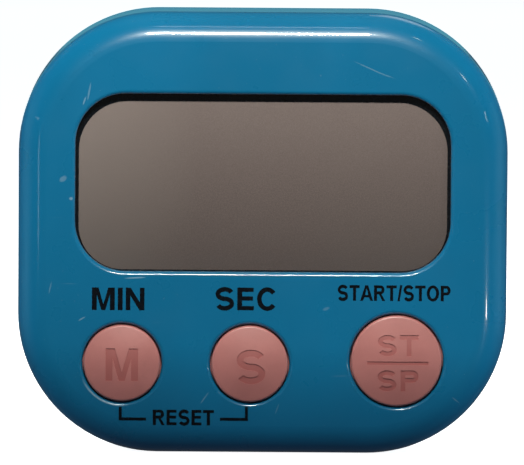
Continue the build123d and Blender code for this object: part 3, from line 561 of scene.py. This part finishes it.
def glyph_o(stem, bar, width=0.97):
    centre = (width / 2, 0.5)
    outer = arc_points(centre, (width / 2, 0.515), 0, 354, 59)
    inner = arc_points(centre, (width / 2 - stem, 0.515 - bar), 0, 354, 59)
    return width, [outer, inner]


def glyph_a(stem, bar, width=1.0):
    top = 0.115
    foot = 0.205
    lean = width / 2 - top
    under, over = 0.22, 0.37
    inside_low = foot + 0.03 + lean * under
    inside_high = foot + 0.03 + lean * over
    return width, [
        [(0, 0), (width / 2 - top, 1), (width / 2 + top, 1), (width, 0), (width - foot, 0),
         (width - inside_low, under), (inside_low, under), (foot, 0)],
        [(inside_high, over), (width / 2, 0.80), (width - inside_high, over)],
    ]


def glyph_p(stem, bar, width=0.77):
    bowl = 0.31
    centre = (width - bowl, 1 - bowl)
    foot = 1 - 2 * bowl
    outer = [(0, 0), (0, 1)] + arc_points(centre, (bowl, bowl), 90, -90, 16) + [(stem, foot), (stem, 0)]
    hole_radii = (bowl - stem, bowl - bar)
    inner = [(stem, 1 - bar)] + arc_points(centre, hole_radii, 90, -90, 16) + [(stem, foot + bar)]
    return width, [outer, inner]


def glyph_r(stem, bar, width=0.88):
    bowl = 0.285
    right = 0.82
    centre = (right - bowl, 1 - bowl)
    foot = 1 - 2 * bowl
    outer = [(0, 0), (0, 1)] + arc_points(centre, (bowl, bowl), 90, -80, 16)
    outer += [(width, 0), (width - 0.23, 0), (0.40, foot - 0.01), (stem, foot - 0.01), (stem, 0)]
    hole_radii = (bowl - stem, bowl - bar)
    inner = [(stem, 1 - bar)] + arc_points(centre, hole_radii, 90, -90, 16) + [(stem, foot + bar)]
    return width, [outer, inner]


def glyph_slash(stem, bar, width=0.38):
    return width, [[(0, -0.02), (width - 0.75 * stem, 1.02), (width, 1.02), (0.75 * stem, -0.02)]]


GLYPHS = {
    "M": glyph_m, "I": glyph_i, "N": glyph_n, "S": glyph_s, "E": glyph_e, "C": glyph_c, "T": glyph_t,
    "A": glyph_a, "R": glyph_r, "O": glyph_o, "P": glyph_p, "/": glyph_slash,
}
DEFAULT_GAP = 0.13
LETTER_GAPS = {"A": 0.03, "T": 0.07, "/": 0.05}
INK_THICKNESS = 0.02 * MM
BRACKET_LINE = 0.44


def printed_shape(name, outlines):
    """Thin flat piece of ink on the face from closed outlines given as (x, z) in metres."""
    curve = bpy.data.curves.new(name, "CURVE")
    curve.dimensions = "2D"
    curve.fill_mode = "BOTH"
    curve.extrude = INK_THICKNESS / 2
    for outline in outlines:
        spline = curve.splines.new("POLY")
        spline.points.add(len(outline) - 1)
        for point, (x, z) in zip(spline.points, outline):
            point.co = (x, z, 0, 1)
        spline.use_cyclic_u = True
    drawn = bpy.data.objects.new(name + "_curve", curve)
    scene.collection.objects.link(drawn)
    bpy.context.view_layer.update()
    mesh = bpy.data.meshes.new_from_object(drawn.evaluated_get(bpy.context.evaluated_depsgraph_get()))
    bpy.data.objects.remove(drawn)
    for vertex in mesh.vertices:
        x, z, depth = vertex.co
        vertex.co = (x, face_y - INK_THICKNESS / 2 - depth, z)
    mesh.name = name
    mesh.materials.clear()
    mesh.materials.append(black_ink)
    piece = bpy.data.objects.new(name, mesh)
    scene.collection.objects.link(piece)
    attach(piece, "case")
    return piece


def legend(name, text, centre, width, height, stem, bar):
    """A word centred at a place (x, z) on the face, in millimetres; stem and bar are parts of its height."""
    pen = 0.0
    shapes = []
    for index, letter in enumerate(text):
        letter_width, outlines = GLYPHS[letter](stem, bar)
        if index:
            before = text[index - 1]
            pen += 0.5 * (LETTER_GAPS.get(letter, DEFAULT_GAP) + LETTER_GAPS.get(before, DEFAULT_GAP))
        shapes += [[(x + pen, y) for x, y in outline] for outline in outlines]
        pen += letter_width
    left = (centre[0] - width / 2) * MM
    bottom = case_low.z + (centre[1] - height / 2) * MM
    scale_x = width * MM / pen
    scale_z = height * MM
    placed = [[(left + x * scale_x, bottom + y * scale_z) for x, y in outline] for outline in shapes]
    printed_shape(name, placed)


def bracket(corner_x, top_z, end_x, low_z):
    """An L of two lines: down from a key, then sideways towards the word RESET, in millimetres."""
    half_line = BRACKET_LINE / 2
    side = math.copysign(1, end_x - corner_x)
    outer_x = corner_x - side * half_line
    inner_x = corner_x + side * half_line
    outline = [
        (outer_x, top_z), (inner_x, top_z), (inner_x, low_z + half_line), (end_x, low_z + half_line),
        (end_x, low_z - half_line), (outer_x, low_z - half_line),
    ]
    return [(x * MM, case_low.z + z * MM) for x, z in outline]


black_ink = ink("legend_ink")
legend("legend_min", "MIN", (-21.17, 22.87), 7.72, 3.32, 0.205, 0.17)
legend("legend_sec", "SEC", (-2.36, 22.99), 9.05, 3.33, 0.215, 0.185)
legend("legend_start_stop", "START/STOP", (19.38, 23.99), 16.6, 2.29, 0.235, 0.185)
legend("legend_reset", "RESET", (-11.49, 5.41), 9.0, 2.27, 0.235, 0.185)
printed_shape("legend_bracket_left", [bracket(-20.78, 6.95, -16.98, 5.15)])
printed_shape("legend_bracket_right", [bracket(-2.21, 7.1, -6.09, 5.2)])


# ------------------------------------------------- dark border behind the window, partly painted shadow
def rounded_outline(low, high, top_radius, low_radius, steps=16):
    """Closed rounded rectangle between two corners (x, z), its upper and lower corners rounded apart."""
    corners = [
        ((high[0] - top_radius, high[1] - top_radius), top_radius, 0),
        ((low[0] + top_radius, high[1] - top_radius), top_radius, 90),
        ((low[0] + low_radius, low[1] + low_radius), low_radius, 180),
        ((high[0] - low_radius, low[1] + low_radius), low_radius, 270),
    ]
    points = []
    for centre, radius, start in corners:
        points += arc_points(centre, (radius, radius), start, start + 90, steps)
    return points


# Display opening of the front case, and how far the border reaches into it and behind its edge
OPENING_HALF_WIDTH = 27.6 * MM
OPENING_TOP = 53.1 * MM
OPENING_BOTTOM = 26.9 * MM
OPENING_CORNER = 7.4 * MM
BORDER_SIDE = 0.50 * MM
# The top band is wider than the printed ring: its lower part is a painted shadow of the opening's upper edge
# on the display
BORDER_TOP_WITH_SHADOW = 1.2 * MM
BORDER_BOTTOM = 0.16 * MM
BORDER_TOP_CORNER = 7.2 * MM
BORDER_LOW_CORNER = 6.5 * MM
BORDER_HIDDEN = 0.8 * MM
border_y = 0.5 * (window_high.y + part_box("lcd_front_polariser")[0].y)
# Black ink ring behind the window, in the legends' ink, its top band widened into a painted shadow
border = printed_shape("window_border_and_shadow", [
    rounded_outline(
        (-OPENING_HALF_WIDTH - BORDER_HIDDEN, OPENING_BOTTOM - BORDER_HIDDEN),
        (OPENING_HALF_WIDTH + BORDER_HIDDEN, OPENING_TOP + BORDER_HIDDEN), OPENING_CORNER, OPENING_CORNER,
    ),
    rounded_outline(
        (-OPENING_HALF_WIDTH + BORDER_SIDE, OPENING_BOTTOM + BORDER_BOTTOM),
        (OPENING_HALF_WIDTH - BORDER_SIDE, OPENING_TOP - BORDER_TOP_WITH_SHADOW), BORDER_TOP_CORNER, BORDER_LOW_CORNER,
    ),
])
for vertex in border.data.vertices:
    vertex.co.y += border_y - face_y


# ------------------------------------------------------------------------- studio
def studio_floor():
    """Wide pale floor under the timer, bright enough by itself to look as white as the surround."""
    half = 2.0
    drop = 0.02 * MM
    glow = 0.93
    mesh = bpy.data.meshes.new("floor")
    corners = [(-half, -half, 0), (half, -half, 0), (half, half, 0), (-half, half, 0)]
    mesh.from_pydata(corners, [], [(0, 1, 2, 3)])
    floor = bpy.data.objects.new("floor", mesh)
    floor.location.z = cad_box[0][2] - drop
    scene.collection.objects.link(floor)
    m = Nodes("floor_pale")
    m.colour(m.mix(m.spread(m.noise(8), 0.3, 0.7), (0.86, 0.86, 0.86), (0.90, 0.90, 0.90)))
    m.set(Roughness=0.8, Specular_IOR_Level=0.2)
    m.shader.inputs["Emission Color"].default_value = (1, 1, 1, 1)
    m.shader.inputs["Emission Strength"].default_value = glow
    mesh.materials.append(m.material)
    floor.visible_diffuse = False
    floor.visible_glossy = False


def world_light():
    """White surround for the eye, a dim one for reflections and a weak bluish fill for matte light."""
    world = bpy.data.worlds.new("studio")
    scene.world = world
    world.use_nodes = True
    tree = world.node_tree
    path = tree.nodes.new("ShaderNodeLightPath")
    result = tree.nodes["Background"]
    result.inputs["Color"].default_value = (0.35, 0.72, 1.0, 1)
    result.inputs["Strength"].default_value = 0.10
    for ray, strength in (("Is Glossy Ray", 0.05), ("Is Camera Ray", 1.0)):
        layer = tree.nodes.new("ShaderNodeBackground")
        layer.inputs["Color"].default_value = (1, 1, 1, 1)
        layer.inputs["Strength"].default_value = strength
        blend = tree.nodes.new("ShaderNodeMixShader")
        tree.links.new(path.outputs[ray], blend.inputs["Fac"])
        tree.links.new(result.outputs[0], blend.inputs[1])
        tree.links.new(layer.outputs[0], blend.inputs[2])
        result = blend
    tree.links.new(result.outputs[0], tree.nodes["World Output"].inputs["Surface"])


def area_light(name, place, target, size, radiance, colour=(1, 1, 1), glossy=True):
    """Rectangular area light aimed at a point, its strength given as radiance."""
    data = bpy.data.lights.new(name, "AREA")
    data.shape = "RECTANGLE"
    data.size = size[0]
    data.size_y = size[1]
    data.energy = radiance * math.pi * size[0] * size[1]
    data.color = colour
    light = bpy.data.objects.new(name, data)
    scene.collection.objects.link(light)
    light.location = place
    direction = Vector(target) - Vector(place)
    light.rotation_euler = direction.to_track_quat("-Z", "Y").to_euler()
    light.visible_glossy = glossy
    light.visible_camera = False


def lamp_towards(name, spot, tilt, turn, distance, size, radiance):
    """Small lamp in a direction from a spot on the face: tilt from its normal, turn from +X upwards."""
    tilt, turn = math.radians(tilt), math.radians(turn)
    away = Vector((math.sin(tilt) * math.cos(turn), -math.cos(tilt), math.sin(tilt) * math.sin(turn)))
    start = Vector((spot[0] * MM, face_y, case_low.z + spot[1] * MM))
    area_light(name, start + distance * away, start, size, radiance)


def light_flag():
    """Card that shades the key light off the bottom of the face, seen by shadows only."""
    half_width = 0.4
    y = face_y - 0.078
    top = case_low.z + 0.0785
    bottom = top - 0.10
    mesh = bpy.data.meshes.new("light_flag")
    corners = [(-half_width, y, bottom), (half_width, y, bottom), (half_width, y, top), (-half_width, y, top)]
    mesh.from_pydata(corners, [], [(0, 1, 2, 3)])
    flag = bpy.data.objects.new("light_flag", mesh)
    scene.collection.objects.link(flag)
    mesh.materials.append(satin_plastic("flag_black", (0.02, 0.02, 0.02), 0.8))
    flag.visible_camera = False
    flag.visible_diffuse = False
    flag.visible_glossy = False
    flag.visible_transmission = False


studio_floor()
world_light()
light_flag()
case_centre = Vector((0, 0, case_low.z + case_height / 2))
# Places, targets and sizes in metres, then radiance and colour
key_place = (-0.0035, face_y - 0.17, 0.165)
area_light("key_light", key_place, (0, face_y, 0.045), (0.050, 0.020), 153, (1, 1, 0.90))
area_light("upper_strip", (-0.002, face_y - 0.102, 0.235), (0, face_y, 0.060), (0.050, 0.008), 6.5)
# Spots on the face in millimetres, tilts and turns in degrees, then distance and size in metres, and radiance
lamp_towards("lamp_high", (22.7, 62.0), 56, 65, 0.3, (0.015, 0.012), 15)
lamp_towards("lamp_mid", (29.9, 55.6), 44, 34, 0.3, (0.015, 0.02), 18)
lamp_towards("lamp_side", (33.1, 50.0), 50, 13, 0.3, (0.012, 0.02), 14)
lamp_towards("lamp_right", (33.0, 18.8), 34, -6.5, 0.09, (0.006, 0.005), 42)
lamp_towards("lamp_left", (-33.0, 28.0), 34, 180, 0.3, (0.012, 0.04), 4)
# Lights for the sides, the top and the back, then two for the lower corners
area_light("left_fill", (-0.45, 0.07, 0.05), (0, 0, 0.035), (0.3, 0.3), 4.2, (0.6, 0.97, 1), glossy=False)
area_light("right_fill", (0.45, 0.07, 0.05), (0, 0, 0.035), (0.3, 0.3), 5.2, (0.6, 0.97, 1), glossy=False)
area_light("top_fill", (0, 0.08, 0.45), (0, 0, 0.06), (0.3, 0.3), 1.8, (1, 1, 0.8), glossy=False)
area_light("back_left", (0.22, 0.30, 0.26), case_centre, (0.25, 0.25), 4.6, glossy=False)
area_light("back_right", (-0.26, 0.26, 0.22), case_centre, (0.25, 0.25), 3.6, glossy=False)
area_light("back_softbox", (0.15, 0.45, 0.50), case_centre, (0.2, 0.2), 1.2)
area_light("rear_horizon", (0, 1.2, 0.16), case_centre, (1.2, 0.25), 0.35, (0.15, 0.8, 1))
for name, side in (("low_left", -1), ("low_right", 1)):
    start = (side * 0.30, -0.06, 0.022)
    area_light(name, start, (side * 0.03, face_y, 0.005), (0.2, 0.03), 6, (0.6, 0.95, 1), glossy=False)

# ------------------------------------------------------------------------- camera
view_width = 1.0694 * case_width
sensor_width = 36.0
camera_distance = 1.5
pitch = math.radians(4.4)
roll = math.radians(0.4)
camera_data = bpy.data.cameras.new("camera")
camera_data.sensor_width = sensor_width
camera_data.lens = sensor_width * camera_distance / view_width
camera_data.clip_start = 0.01
camera = bpy.data.objects.new("camera", camera_data)
scene.collection.objects.link(camera)
aim = Vector((-0.0001, face_y, case_centre.z + 0.0003))
camera.location = aim + camera_distance * Vector((0, -math.cos(pitch), math.sin(pitch)))
camera.rotation_euler = (math.radians(90) - pitch, 0, 0)
camera.rotation_euler.rotate_axis("Z", roll)
scene.camera = camera
scene.view_settings.view_transform = "Standard"
